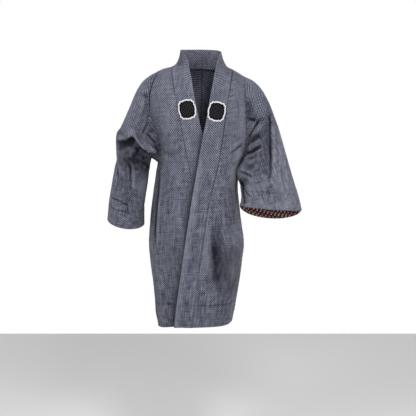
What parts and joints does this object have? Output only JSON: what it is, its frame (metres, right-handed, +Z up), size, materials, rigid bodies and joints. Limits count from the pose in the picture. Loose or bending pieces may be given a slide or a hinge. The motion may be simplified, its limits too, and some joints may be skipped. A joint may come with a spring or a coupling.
{
  "type": "kimono coat",
  "caption": "Long straight cotton kimono coat in its worn hollow form, wide tube sleeves and one collar band, left front lapped over right.",
  "frame": {"origin": "on the shoulder line over the middle of the neck, where the wearer's shoulders hold the coat up", "axes": "+Z up, -Y out of the front, +X towards the wearer's left"},
  "size_m": [0.6963, 0.2518, 0.9814],
  "materials": {
    "check_cotton": "matt plain-weave cotton in a fine indigo and white check",
    "maroon_cotton": "matt printed cotton, dark maroon with small pale flowers",
    "black_patch": "flat embroidered patch, black with a white edge"
  },
  "bodies": {
    "root": {"body_right": "check_cotton", "body_left": "check_cotton", "sleeve_right": "check_cotton", "sleeve_left": "check_cotton", "collar": "check_cotton", "cuff_facing_right": "maroon_cotton", "cuff_facing_left": "maroon_cotton", "collar_patch_right": "black_patch", "collar_patch_left": "black_patch"}
  },
  "joints": []
}
